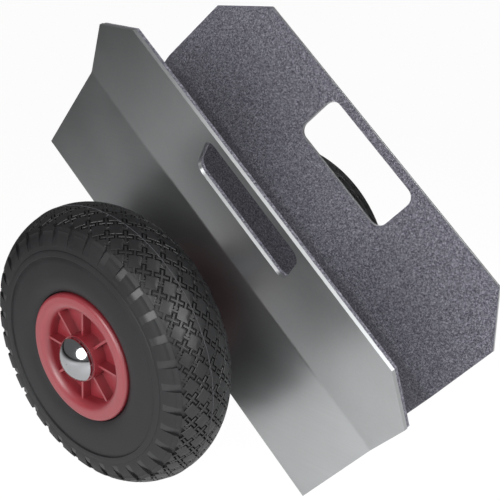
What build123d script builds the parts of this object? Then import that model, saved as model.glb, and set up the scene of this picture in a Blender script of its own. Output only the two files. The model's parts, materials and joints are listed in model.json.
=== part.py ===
"""Panel cart: two rocking clamp jaws on a two-wheel carriage, set down on its wheels and jaw ends."""
from build123d import *
import os
from math import asin, atan2, cos, degrees, hypot, pi, radians, sin, sqrt, tan

# Driving dimensions, in millimetres and degrees.
# The pieces are modelled level, with the origin in the middle of the axle,
# X along the jaws, +Y to the left and +Z up.

# Jaw sheet
jaw_length = 420.0
jaw_sheet = 3.0
throat_width = 100.0
flare_angle = 20.5
upper_height = 113.0
lower_height = 104.0
lower_edge_above_axle = 9.0
bend_radius = 12.0
corner_cut = 41.0
hand_hole_length = 122.0
hand_hole_height = 46.0
hand_hole_radius = 10.0
hand_bar_height = 9.2
axle_notch_radius = 15.0

# Rolled eyes at the foot of the jaw
eye_width = 30.0
eye_root_radius = 6.0
pivot_below_axle = 16.0

# Felt lining
felt_thickness = 3.0
felt_inset = 0.5
felt_above_fingers = 1.0

# Floor fingers
finger_sheet = 3.0
finger_leg_height = 27.0
finger_above_edge = 2.0
finger_bend_radius = 2.0
finger_reach = 56.0
finger_width = 28.0
finger_gap = 6.0
finger_count = 6
finger_tip_radius = 6.0

# Carriage tray
tray_sheet = 3.0
tray_width = 58.0
tray_length = 130.0
tray_floor_below_axle = 27.0
tray_side_below_axle = 3.0
tray_end_above_axle = 24.0
tray_corner_radius = 8.0
tray_fold_radius = 2.0

# Pivot rods and their fasteners
rod_diameter = 10.0
rod_end_length = 3.0
rod_end_chamfer = 0.8
rod_washer_diameter = 18.0
rod_washer_thickness = 1.6
clip_thickness = 1.2
clip_groove_depth = 1.0
clip_diameter = 15.0
clip_mouth = 6.0

# Open stops
buffer_diameter = 11.0
buffer_spacing = 40.0
buffer_above_axle = 16.0
buffer_edge_radius = 1.0
screw_diameter = 5.0
screw_head_diameter = 9.0
screw_head_height = 3.0
screw_bite_share = 0.57

# Axle and what it carries
axle_diameter = 20.0
axle_end_chamfer = 1.5
spacer_diameter = 28.0
thrust_washer_diameter = 40.0
thrust_washer_thickness = 1.5
star_thickness = 1.2
star_diameter = 37.6
star_slot_width = 3.0
star_slot_reach = 15.0
star_slot_count = 8
cap_diameter = 40.0
cap_height = 11.5
cap_skirt = 2.0
cap_wall = 0.8
axle_end_in_cap = 7.5

# Wheel
wheel_middle = 125.0
hub_length = 72.0
hub_diameter = 42.0
rim_half_width = 36.6
flange_diameter = 119.0
flange_thickness = 9.6
flange_inner_round = 8.0
flange_outer_round = 3.5
bead_diameter = 101.6
barrel_inner_diameter = 87.0
web_thickness = 4.0
web_outset = 20.7
rib_count = 8
rib_thickness = 2.2
rib_below_flange = 5.1
rib_root = 2.0
rim_turn = 35.2
tyre_diameter = 260.0
tyre_width = 72.0
tyre_widest_below_tread = 38.0
shoulder_below_tread = 12.0
shoulder_width = 60.0
bead_width = 53.0
bead_lip = 1.0
bead_wall_width = 65.6
bead_wall_slant = 1.4
sidewall_ring_place = 0.6
sidewall_ring_radius = 1.0
lug_count = 34
lug_gap_width = 7.5
lug_gap_depth = 2.4
lug_gap_foot_below_tread = 28.0
tread_rows_a_side = 3
tread_row_pitch = 9.9
tread_rib_width = 2.2
tread_groove_width = 1.2
tread_groove_depth = 2.2
tread_edge_margin = 0.6
tread_turn = 4.2

# Roller bearing
roller_diameter = 6.4
roller_length = 52.0
roller_count = 8
cage_wall = 3.6
cage_end = 4.0

# Clearances
running_gap = 0.06
hole_gap = 0.05
seat_gap = 0.05
side_play = 0.3
stop_gap = 0.3
cage_gap = 0.15
cut_margin = 5.0

# Values worked out from the sizes
flare = radians(flare_angle)
half_length = jaw_length / 2
inner_y = throat_width / 2
outer_y = inner_y + jaw_sheet
low_z = lower_edge_above_axle
bend_z = low_z + lower_height
axle_radius = axle_diameter / 2
rod_radius = rod_diameter / 2
eye_inner_radius = rod_radius + running_gap
eye_outer_radius = eye_inner_radius + jaw_sheet
pivot_y = outer_y - eye_outer_radius
pivot_z = -pivot_below_axle
finger_corner_z = low_z + finger_above_edge
finger_top_z = finger_corner_z + finger_leg_height
finger_pitch = 2 * (finger_width + finger_gap)
tray_half_width = tray_width / 2
tray_half_length = tray_length / 2
buffer_length = tray_half_length - tray_sheet - outer_y - stop_gap
screw_bite = buffer_length * screw_bite_share
eye_start = tray_half_width + rod_washer_thickness + side_play
eye_end = eye_start + eye_width
outer_washer_start = eye_end + side_play
clip_start = outer_washer_start + rod_washer_thickness
rod_half_length = clip_start + clip_thickness + rod_end_length
hub_inner_end = wheel_middle - hub_length / 2
hub_outer_end = wheel_middle + hub_length / 2
inner_washer_start = hub_inner_end - side_play - thrust_washer_thickness
outer_washer_end = hub_outer_end + side_play + thrust_washer_thickness
axle_half_length = outer_washer_end + axle_end_in_cap
roller_circle = axle_radius + running_gap + roller_diameter / 2
hub_bore_radius = roller_circle + roller_diameter / 2 + running_gap
tyre_radius = tyre_diameter / 2
shoulder_radius = tyre_radius - shoulder_below_tread
crown_radius = (shoulder_below_tread**2 + (shoulder_width / 2)**2) / (2 * shoulder_below_tread)

# The cart lies tipped: the lower front corners of the jaws and the two tyres touch the floor.
tip_angle = degrees(asin(tyre_radius / hypot(half_length, low_z)) + atan2(low_z, half_length))


def bend_corner(offset):
    """Corner of the bent sheet's section, offset inwards from the jaw's outer face."""
    return (outer_y - offset, bend_z + offset * tan(flare / 2))


def plate_point(offset, above_bend):
    """Point of the flared upper plate, by its offset and its height up the plate from the bend."""
    y = outer_y + above_bend * sin(flare) - offset * cos(flare)
    z = bend_z + above_bend * cos(flare) + offset * sin(flare)
    return (y, z)


def bent_sheet(near, far, length, foot_z, top):
    """Sheet between two offsets from the outer face, bent where the upper plate flares out."""
    points = [(outer_y - near, foot_z), bend_corner(near), plate_point(near, top)]
    points += [plate_point(far, top), bend_corner(far), (outer_y - far, foot_z)]
    section = make_face(Polyline(*points, close=True))
    for offset in (near, far):
        corner = section.vertices().sort_by_distance((*bend_corner(offset), 0))[0]
        section = fillet(corner, bend_radius + offset)
    return extrude(Plane.YZ * section, amount=length / 2, both=True)


def upper_plane():
    """Plane of the upper plate's outer face: origin in the middle of its top edge, local y up the plate."""
    y, z = plate_point(0, upper_height)
    return Plane(origin=(0, y, z), x_dir=(1, 0, 0), z_dir=(0, -cos(flare), sin(flare)))


def plate_cuts(inset):
    """Cutters for the two slanted corners and the hand hole, grown by an inset."""
    depth = jaw_sheet + felt_thickness + cut_margin
    line = half_length - corner_cut - inset * sqrt(2)
    far = half_length + cut_margin
    corner = Polyline((line - cut_margin, cut_margin), (far, cut_margin), (far, line - far), close=True)
    corner = make_face(corner)
    length, height = hand_hole_length + 2 * inset, hand_hole_height + 2 * inset
    hole = RectangleRounded(length, height, hand_hole_radius + inset)
    hole = Pos(0, -hand_bar_height - hand_hole_height / 2) * hole
    cuts = Sketch() + corner + mirror(corner, about=Plane.YZ) + hole
    return extrude(upper_plane() * cuts, amount=depth, both=True)


def rolled_eye():
    """Strap that runs down from the jaw's lower edge and curls round the pivot rod."""
    ring = Circle(eye_outer_radius) - Circle(eye_inner_radius)
    mouth = Rectangle(eye_outer_radius, eye_outer_radius, align=(Align.MIN, Align.MIN))
    strap_height = low_z - pivot_z
    strap = Rectangle(jaw_sheet, strap_height, align=(Align.MIN, Align.MIN))
    section = Pos(pivot_y, pivot_z) * (ring - mouth + Pos(eye_inner_radius, 0) * strap)
    eye = extrude(Plane.YZ * section, amount=eye_width)
    root = Rectangle(eye_width, eye_root_radius, align=(Align.MIN, Align.MAX))
    band = Rectangle(eye_width + 4 * eye_root_radius, jaw_sheet, align=(Align.CENTER, Align.MIN))
    root += Pos(eye_width / 2) * band
    inside = root.vertices().filter_by_position(Axis.Y, -0.01, 0.01)
    inside = inside.filter_by_position(Axis.X, -0.01, eye_width + 0.01)
    root = fillet(inside, eye_root_radius * 0.98)
    root = extrude(Plane.XZ.offset(-outer_y) * (Pos(0, low_z) * root), amount=jaw_sheet)
    return eye + root


def jaw_plate():
    """One clamp jaw: the bent sheet with its cut corners, hand hole, axle notch and two rolled eyes."""
    plate = bent_sheet(0, jaw_sheet, jaw_length, low_z, upper_height) - plate_cuts(0)
    eye = Pos(eye_start) * rolled_eye()
    plate = plate + eye + mirror(eye, about=Plane.YZ)
    notch = Plane.XZ * Circle(axle_notch_radius)
    return plate - extrude(notch, amount=-outer_y - cut_margin)


def felt_lining():
    """Felt glued to the inside of a jaw, from its top edge over the bend to the floor fingers."""
    foot_z = finger_top_z + felt_above_fingers
    lining = bent_sheet(
        jaw_sheet, jaw_sheet + felt_thickness, jaw_length - 2 * felt_inset, foot_z, upper_height - felt_inset
    )
    return lining - plate_cuts(felt_inset)


def floor_fingers():
    """Bent fingers welded inside the jaw; they rise inwards while it is open and lie level when it is shut."""
    rise, run = sin(flare), cos(flare)
    length = finger_reach / run
    tip = (inner_y - finger_reach, finger_corner_z + length * rise)
    slant = finger_sheet * (1 + rise) / run
    heel = (inner_y - finger_sheet, finger_corner_z + finger_sheet * run + slant * rise)
    points = [(inner_y, finger_top_z), (inner_y, finger_corner_z), tip]
    points += [(tip[0] + finger_sheet * rise, tip[1] + finger_sheet * run), heel]
    points += [(inner_y - finger_sheet, finger_top_z)]
    section = make_face(Polyline(*points, close=True))
    for point, radius in ((points[1], finger_bend_radius + finger_sheet), (heel, finger_bend_radius)):
        section = fillet(section.vertices().sort_by_distance((*point, 0))[0], radius)
    finger = extrude(Plane.YZ * section, amount=finger_width / 2, both=True)
    across = finger.edges().filter_by(lambda edge: abs(edge.length - finger_sheet) < 0.001)
    finger = fillet(across.group_by(Axis.Y)[0], finger_tip_radius)
    first = -(finger_count - 1) / 2 * finger_pitch - finger_pitch / 4
    return [Pos(first + index * finger_pitch) * finger for index in range(finger_count)]


def carriage_tray():
    """Folded tray under the jaws: its ends carry the axle and the open stops, its sides the pivot rods."""
    height = tray_floor_below_axle + tray_end_above_axle
    low = (Align.CENTER, Align.CENTER, Align.MIN)
    tray = Pos(0, 0, -tray_floor_below_axle) * Box(tray_width, tray_length, height, align=low)
    tray = fillet(tray.edges().group_by(Axis.Z)[0], tray_fold_radius + tray_sheet)
    room = Box(tray_width - 2 * tray_sheet, tray_length - 2 * tray_sheet, height, align=low)
    room = fillet(room.edges().group_by(Axis.Z)[0], tray_fold_radius)
    tray -= Pos(0, 0, tray_sheet - tray_floor_below_axle) * room
    opening = Box(tray_width + cut_margin, tray_length - 2 * tray_sheet, height, align=low)
    tray -= Pos(0, 0, -tray_side_below_axle) * opening
    crown = tray.edges().filter_by(Axis.Y).group_by(Axis.Z)[-1]
    tray = fillet(crown, tray_corner_radius)
    tray -= Cylinder(axle_radius + hole_gap, tray_length + cut_margin, rotation=(90, 0, 0))
    for side in (-1, 1):
        rod_hole = Cylinder(rod_radius + hole_gap, tray_width + cut_margin, rotation=(0, 90, 0))
        tray -= Pos(0, side * pivot_y, pivot_z) * rod_hole
        screw_hole = Cylinder(screw_diameter / 2 + hole_gap, tray_length + cut_margin, rotation=(90, 0, 0))
        tray -= Pos(side * buffer_spacing / 2, 0, buffer_above_axle) * screw_hole
    return tray


def ring(outer, inner, thickness):
    """Flat ring on the X axis, from x = 0."""
    section = Circle(outer) - Circle(inner)
    return extrude(Plane.YZ * section, amount=thickness)


def both_ends(piece):
    """A piece and its mirror image at the other end of the cart, as separate solids."""
    return [piece, mirror(piece, about=Plane.YZ)]


def pivot_rod():
    """Rod on which a jaw rocks, with a groove for a spring clip near each end."""
    rod = Cylinder(rod_radius, 2 * rod_half_length, rotation=(0, 90, 0))
    rod = chamfer(rod.edges().filter_by(GeomType.CIRCLE), rod_end_chamfer)
    groove = ring(rod_radius + cut_margin, rod_radius - clip_groove_depth, clip_thickness + hole_gap)
    for cut in both_ends(Pos(clip_start) * groove):
        rod -= cut
    return Pos(0, pivot_y, pivot_z) * rod


def rod_washers():
    """Washers on both faces of each rolled eye."""
    washer = ring(rod_washer_diameter / 2, rod_radius + hole_gap, rod_washer_thickness)
    places = [Pos(start, pivot_y, pivot_z) * washer for start in (tray_half_width, outer_washer_start)]
    return [solid for place in places for solid in both_ends(place)]


def rod_clips():
    """Spring clips, open on one side, that sit in the rod's grooves."""
    clip = ring(clip_diameter / 2, rod_radius - clip_groove_depth + hole_gap, clip_thickness)
    mouth = Box(4 * clip_thickness, clip_mouth, clip_diameter, align=(Align.CENTER, Align.CENTER, Align.MAX))
    return both_ends(Pos(clip_start, pivot_y, pivot_z) * (clip - mouth))


def stop_buffers():
    """Rubber buffers on the tray's end wall, which the open jaw leans on."""
    buffer = Cylinder(buffer_diameter / 2, buffer_length, align=(Align.CENTER, Align.CENTER, Align.MIN))
    buffer = fillet(buffer.edges().group_by(Axis.Z)[-1], buffer_edge_radius)
    hole = Cylinder(screw_diameter / 2 + hole_gap, screw_bite, align=(Align.CENTER, Align.CENTER, Align.MIN))
    buffer -= hole
    wall = tray_half_length - tray_sheet
    return both_ends(Pos(buffer_spacing / 2, wall, buffer_above_axle) * Rot(90, 0, 0) * buffer)


def buffer_screws():
    """Domed screws that hold the buffers through the tray's end wall."""
    shank = screw_bite + tray_sheet - side_play
    screw = Cylinder(screw_diameter / 2, shank, align=(Align.CENTER, Align.CENTER, Align.MIN))
    head = Cylinder(screw_head_diameter / 2, screw_head_height, align=(Align.CENTER, Align.CENTER, Align.MAX))
    head = fillet(head.edges().group_by(Axis.Z)[0], screw_head_height * 0.6)
    socket = RegularPolygon(screw_diameter / 3, 6)
    head -= Pos(0, 0, -screw_head_height) * extrude(socket, amount=screw_head_height / 2)
    place = Pos(buffer_spacing / 2, tray_half_length, buffer_above_axle) * Rot(90, 0, 0)
    return both_ends(place * (screw + head))


def turned(points, rounds=()):
    """Solid of revolution about the Y axis from (radius, y) points, with some corners rounded."""
    section = make_face(Polyline(*points, close=True))
    for point, radius in rounds:
        section = fillet(section.vertices().sort_by_distance((*point, 0))[0], radius)
    return revolve(section, Axis.Y)


def axle():
    """Cross axle through the tray and both wheels."""
    bar = Cylinder(axle_radius, 2 * axle_half_length, rotation=(90, 0, 0))
    return chamfer(bar.edges().filter_by(GeomType.CIRCLE), axle_end_chamfer)


def sleeve(outer, start, end):
    """Plain sleeve on the axle between two places."""
    inner = axle_radius + hole_gap
    return turned([(inner, start), (outer, start), (outer, end), (inner, end)])


def thrust_washer(start):
    """Washer on the axle, beside an end of the hub."""
    return sleeve(thrust_washer_diameter / 2, start, start + thrust_washer_thickness)


def star_washer():
    """Spring washer whose tongues grip the axle inside the cap."""
    disc = Circle(star_diameter / 2) - Circle(axle_radius + hole_gap)
    slot = Rectangle(star_slot_reach, star_slot_width, align=(Align.MIN, Align.CENTER))
    slots = PolarLocations(0, star_slot_count) * slot
    return extrude(Plane.XZ.offset(-outer_washer_end) * (disc - slots), amount=-star_thickness)


def axle_cap():
    """Spun domed cap over the axle's end."""
    radius = cap_diameter / 2
    rise = cap_height - cap_skirt
    dome = (radius**2 + rise**2) / (2 * rise)
    middle = outer_washer_end + cap_height - dome
    shell = revolve(cap_section(radius, dome, middle), Axis.Y)
    return shell - revolve(cap_section(radius - cap_wall, dome - cap_wall, middle), Axis.Y)


def cap_section(radius, dome, middle):
    """Half section of the cap's outer or inner form: a straight skirt under a dome."""
    foot = outer_washer_end
    shoulder = middle + sqrt(dome**2 - radius**2)
    half = atan2(radius, shoulder - middle) / 2
    crest = (dome * sin(half), middle + dome * cos(half))
    outline = Line((0, foot), (radius, foot)) + Line((radius, foot), (radius, shoulder))
    outline += ThreePointArc((radius, shoulder), crest, (0, middle + dome))
    outline += Line((0, middle + dome), (0, foot))
    return make_face(outline)


def rim():
    """Moulded rim: hub, barrel, two rolled flanges and a web near the outer side, ribbed on both faces."""
    barrel_radius = barrel_inner_diameter / 2
    bead_radius = bead_diameter / 2
    flange_radius = flange_diameter / 2
    bead_edge = rim_half_width - flange_thickness
    points = []
    rounds = []
    for side in (-1, 1):
        half = [(barrel_radius, side * rim_half_width), (flange_radius, side * rim_half_width)]
        rounds += [(half[0], flange_inner_round), (half[1], flange_outer_round)]
        half += [(flange_radius, side * bead_edge), (bead_radius, side * bead_edge)]
        points += half[::-side]
    body = turned(points, rounds)
    hub_half = hub_length / 2
    hub_radius = hub_diameter / 2
    hub = [(hub_bore_radius, -hub_half), (hub_radius, -hub_half)]
    body += turned([*hub, (hub_radius, hub_half), (hub_bore_radius, hub_half)])
    end = barrel_radius + rib_root
    start = hub_radius - rib_root
    web_in, web_out = web_outset - web_thickness / 2, web_outset + web_thickness / 2
    body += turned([(start, web_in), (end, web_in), (end, web_out), (start, web_out)])
    rib = Pos(start) * Rectangle(end - start, rib_thickness, align=(Align.MIN, Align.CENTER))
    ribs = Sketch() + PolarLocations(0, rib_count) * rib
    body += extrude(Plane.XZ * ribs, amount=rim_half_width - rib_below_flange, both=True)
    return Pos(0, wheel_middle) * Rot(0, rim_turn, 0) * body


def tyre_section():
    """Tyre section in (radius, y): round over the tread, close to the flanges, a raised ring on each side."""
    bead = bead_diameter / 2 + seat_gap
    lip = flange_diameter / 2 + bead_lip
    half_bead = bead_width / 2
    half_wall = bead_wall_width / 2
    shoulder = (shoulder_radius, shoulder_width / 2)
    run_out = (shoulder[1], tyre_radius - crown_radius - shoulder[0])
    widest = (tyre_radius - tyre_widest_below_tread, tyre_width / 2)
    side = Spline((lip, half_wall), widest, shoulder, tangents=((bead_wall_slant, 1), run_out))
    tread = ThreePointArc(shoulder, (tyre_radius, 0), (shoulder[0], -shoulder[1]))
    seat = [(lip, -half_wall), (lip, -half_bead), (bead, -half_bead)]
    foot = Polyline(*seat, (bead, half_bead), (lip, half_bead), (lip, half_wall))
    outline = [*side.edges(), *tread.edges(), *mirror(side, about=Plane.XZ).edges(), *foot.edges()]
    bump = Circle(sidewall_ring_radius)
    place = side @ sidewall_ring_place
    return make_face(outline) + Pos(place.X, place.Y) * bump + Pos(place.X, -place.Y) * bump


def lug_gap():
    """Cutter for a gap between two shoulder lugs: deepest at the tread's edge, running out on the sidewall."""
    edge = (shoulder_radius, shoulder_width / 2)
    deep = (edge[0] - lug_gap_depth * sqrt(0.5), edge[1] - lug_gap_depth * sqrt(0.5))
    foot = (tyre_radius - lug_gap_foot_below_tread, tyre_width / 2)
    reach = lug_gap_depth + cut_margin
    points = [deep, foot, (foot[0] + reach, foot[1] + reach), (deep[0] + reach, deep[1] + reach)]
    return extrude(make_face(Polyline(*points, close=True)), amount=lug_gap_width / 2, both=True)


def tread_groove(across, top):
    """Cutter for the groove round one diamond block, cut off at a height in the diamond's own plane.

    The block's middle stands on the crown, by its distance across from the middle of the tread.
    """
    lean = across / crown_radius
    radius = tyre_radius - crown_radius * (1 - cos(lean))
    half_round = pi * radius / lug_count
    to_side = half_round * tread_row_pitch / hypot(half_round, tread_row_pitch)
    diamonds = []
    for inset in (tread_rib_width / 2, tread_rib_width / 2 + tread_groove_width):
        share = 1 - inset / to_side
        x, y = half_round * share, tread_row_pitch * share
        diamonds.append(make_face(Polyline((x, 0), (0, y), (-x, 0), (0, -y), close=True)))
    groove = diamonds[0] - diamonds[1]
    groove &= Pos(0, top) * Rectangle(4 * half_round, 4 * tread_row_pitch, align=(Align.CENTER, Align.MAX))
    outwards = (cos(lean), sin(lean), 0)
    face = Plane(origin=(radius, crown_radius * sin(lean), 0), x_dir=(0, 0, -1), z_dir=outwards)
    return extrude(face.offset(-tread_groove_depth) * groove, amount=tread_groove_depth + cut_margin)


def all_round(cutter, phase):
    """Copies of a cutter round the tyre, and of its mirror image, half a pitch on, round the other side."""
    pitch = 360 / lug_count
    far = mirror(cutter, about=Plane.XZ)
    turns = [tread_turn + pitch * (i + phase) for i in range(lug_count)]
    near_side = [Rot(0, turn, 0) * cutter for turn in turns]
    return near_side + [Rot(0, turn + pitch / 2, 0) * far for turn in turns]


def tyre():
    """Tyre, solid through, with rows of diamond blocks, and shoulder lugs and a raised ring on each side."""
    cuts = all_round(lug_gap(), 0)
    edge = crown_radius * asin(shoulder_width / 2 / crown_radius)
    for row in range(tread_rows_a_side + 1):
        across = (row + 0.5) * tread_row_pitch
        cuts += all_round(tread_groove(across, edge - across - tread_edge_margin), row % 2 / 2)
    return Pos(0, wheel_middle) * (revolve(tyre_section(), Axis.Y) - cuts)


def rollers():
    """Bearing rollers that run between the axle and the hub."""
    roller = Pos(roller_circle) * Cylinder(roller_diameter / 2, roller_length, rotation=(90, 0, 0))
    turns = [360 / roller_count * i for i in range(roller_count)]
    return [Pos(0, wheel_middle) * Rot(0, turn, 0) * roller for turn in turns]


def roller_cage():
    """Cage that spaces the rollers: a slotted sleeve closed at both ends."""
    half = roller_length / 2 + cage_end
    inner, outer = roller_circle - cage_wall / 2, roller_circle + cage_wall / 2
    cage = turned([(inner, -half), (outer, -half), (outer, half), (inner, half)])
    pocket = Cylinder(roller_diameter / 2 + cage_gap, roller_length + 2 * cage_gap, rotation=(90, 0, 0))
    for i in range(roller_count):
        cage -= Rot(0, 360 / roller_count * i, 0) * Pos(roller_circle) * pocket
    return Pos(0, wheel_middle) * cage


def side_pieces():
    """Pieces of the cart's left side, by name."""
    return {
        "jaw_plate": jaw_plate(),
        "felt_lining": felt_lining(),
        "floor_fingers": floor_fingers(),
        "pivot_rod": pivot_rod(),
        "rod_washers": rod_washers(),
        "rod_clips": rod_clips(),
        "stop_buffers": stop_buffers(),
        "buffer_screws": buffer_screws(),
        "spacer_tube": sleeve(spacer_diameter / 2, tray_half_length, inner_washer_start),
        "inner_washer": thrust_washer(inner_washer_start),
        "outer_washer": thrust_washer(outer_washer_end - thrust_washer_thickness),
        "star_washer": star_washer(),
        "axle_cap": axle_cap(),
        "rim": rim(),
        "tyre": tyre(),
        "roller_cage": roller_cage(),
        "rollers": rollers(),
    }


def as_solids(piece):
    """The solids of a piece or of a group of pieces."""
    group = piece if isinstance(piece, list) else [piece]
    return [solid for item in group for solid in item.solids()]


def level_nodes():
    """Every node of the cart, level: the right side is the left side turned half round."""
    nodes = {"axle": as_solids(axle()), "carriage_tray": as_solids(carriage_tray())}
    for name, piece in side_pieces().items():
        solids = as_solids(piece)
        nodes["left_" + name] = solids
        nodes["right_" + name] = [Rot(0, 0, 180) * solid for solid in solids]
    return nodes


def main():
    """Sets the cart down tipped on the floor, centred on its footprint, and writes every node."""
    os.makedirs("parts", exist_ok=True)
    nodes = {name: [Rot(0, tip_angle, 0) * s for s in solids] for name, solids in level_nodes().items()}
    box = Compound([s for solids in nodes.values() for s in solids]).bounding_box()
    rest = Pos(-(box.min.X + box.max.X) / 2, 0, tyre_radius)
    for name, solids in nodes.items():
        placed = [rest * solid for solid in solids]
        export_step(Compound(placed) if len(placed) > 1 else placed[0], f"parts/{name}.step")
    print("tip angle", round(tip_angle, 5))
    print("axle centre", round(rest.position.X, 4), rest.position.Y, rest.position.Z)
    print("pivot beside and below the axle", round(pivot_y, 4), round(pivot_z, 4))


main()
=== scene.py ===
"""Panel cart: two felt-lined steel jaws on a two-wheel carriage, dressed for the studio.

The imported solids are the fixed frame. The tyres and the felt linings are modelled here and stand for
their solids; every other piece keeps its solid and gets its finish here.
"""
import json
import logging
import math
from dataclasses import dataclass
from enum import Enum
from typing import Any, Callable, Optional, Sequence

import bmesh
import bpy
from mathutils import Matrix, Vector


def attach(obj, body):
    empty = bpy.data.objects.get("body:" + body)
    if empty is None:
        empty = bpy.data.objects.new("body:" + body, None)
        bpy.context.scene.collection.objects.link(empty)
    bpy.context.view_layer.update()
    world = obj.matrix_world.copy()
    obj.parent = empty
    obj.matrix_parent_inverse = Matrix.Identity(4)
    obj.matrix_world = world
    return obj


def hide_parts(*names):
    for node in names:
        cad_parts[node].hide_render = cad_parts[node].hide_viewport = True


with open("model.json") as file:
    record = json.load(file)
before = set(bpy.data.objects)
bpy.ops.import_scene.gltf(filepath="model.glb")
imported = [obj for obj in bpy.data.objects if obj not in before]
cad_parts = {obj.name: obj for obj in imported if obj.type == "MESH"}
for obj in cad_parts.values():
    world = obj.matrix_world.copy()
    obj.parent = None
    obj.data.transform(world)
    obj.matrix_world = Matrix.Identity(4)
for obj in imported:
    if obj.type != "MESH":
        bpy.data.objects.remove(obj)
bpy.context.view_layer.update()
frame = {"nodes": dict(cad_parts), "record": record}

LOG = logging.getLogger("panel_cart")
MM = 0.001
TINY = 0.01 * MM
SEED_SIZE = 1 * MM
Point = tuple[float, float, float]

# How the cart lies: tipped about its axle, in the row's frame.
TIP_ANGLE = math.radians(40.65924)
AXLE_CENTRE = Vector((-62.1475, 0.0, 130.0)) * MM
LEVEL_TO_ROW = Matrix.Translation(AXLE_CENTRE) @ Matrix.Rotation(TIP_ANGLE, 4, "Y")
HALF_TURN = LEVEL_TO_ROW @ Matrix.Rotation(math.pi, 4, "Z") @ LEVEL_TO_ROW.inverted()


class Side(Enum):
    """The two sides of the cart; the right one faces the camera."""

    RIGHT = "right"
    LEFT = "left"

    def node(self, piece: str) -> str:
        """Names this side's node or body.

        Args:
            piece: the name without its side.

        Returns:
            The full name.
        """
        return f"{self.value}_{piece}"


class Part(Enum):
    """What a pick in edit mode selects."""

    EDGES = "EDGE"
    FACES = "FACE"


def linear(hex_colour: str) -> tuple[float, float, float, float]:
    """Turns an sRGB hex colour to linear RGBA.

    Args:
        hex_colour: six hex digits after a hash sign.

    Returns:
        The linear colour, opaque.
    """
    shares = [int(hex_colour[i:i + 2], 16) / 255 for i in (1, 3, 5)]
    lit = [c / 12.92 if c <= 0.04045 else ((c + 0.055) / 1.055) ** 2.4 for c in shares]
    return (*lit, 1.0)


def add(
    tree: bpy.types.NodeTree, kind: str, inputs: Optional[dict] = None, **settings: Any,
) -> bpy.types.Node:
    """Adds a node with its settings and links.

    Args:
        tree: the node tree that gets the node.
        kind: the node's type.
        inputs: value or output socket for each input, by name or index.
        **settings: the node's own properties.

    Returns:
        The new node.
    """
    node = tree.nodes.new(kind)
    for name, value in settings.items():
        setattr(node, name, value)
    for key, value in (inputs or {}).items():
        if isinstance(value, bpy.types.NodeSocket):
            tree.links.new(value, node.inputs[key])
        else:
            node.inputs[key].default_value = value
    return node


def blank_tree(owner: Any) -> bpy.types.NodeTree:
    """Gives a material or a world an empty node tree.

    Args:
        owner: the material or world.

    Returns:
        Its tree.
    """
    owner.use_nodes = True
    owner.node_tree.nodes.clear()
    return owner.node_tree


def per_metre(size_mm: float) -> float:
    """Finds a texture's scale from the size of its pattern.

    Args:
        size_mm: how many millimetres across the pattern's features are.

    Returns:
        The scale, in features per metre.
    """
    return 1.0 / (size_mm * MM)


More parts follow.
